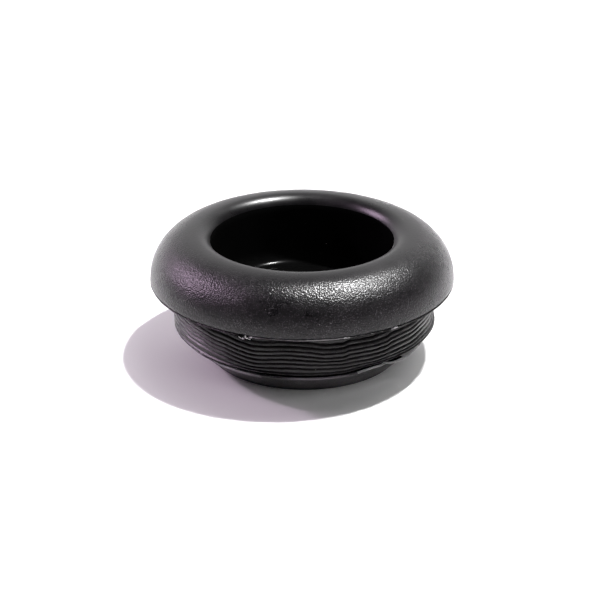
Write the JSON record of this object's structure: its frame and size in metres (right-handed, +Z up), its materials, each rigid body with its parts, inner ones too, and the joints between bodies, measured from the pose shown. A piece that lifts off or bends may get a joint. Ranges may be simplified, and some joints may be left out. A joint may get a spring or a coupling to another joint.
{
  "type": "rubber floor plug",
  "caption": "Moulded rubber plug for a round floor hole: fat half-round head with an open cup, fine ribbed neck and a tapered foot.",
  "frame": {"origin": "centre of the flat base, which is the middle of the bottom of the bounding box", "axes": "+Z up along the plug's axis, from the foot to the crown of the head"},
  "size_m": [0.0368, 0.0368, 0.0155],
  "materials": {
    "rubber": "moulded black rubber with a fine pebble grain and a soft sheen"
  },
  "bodies": {
    "root": {"floor_plug": "rubber"}
  },
  "joints": []
}
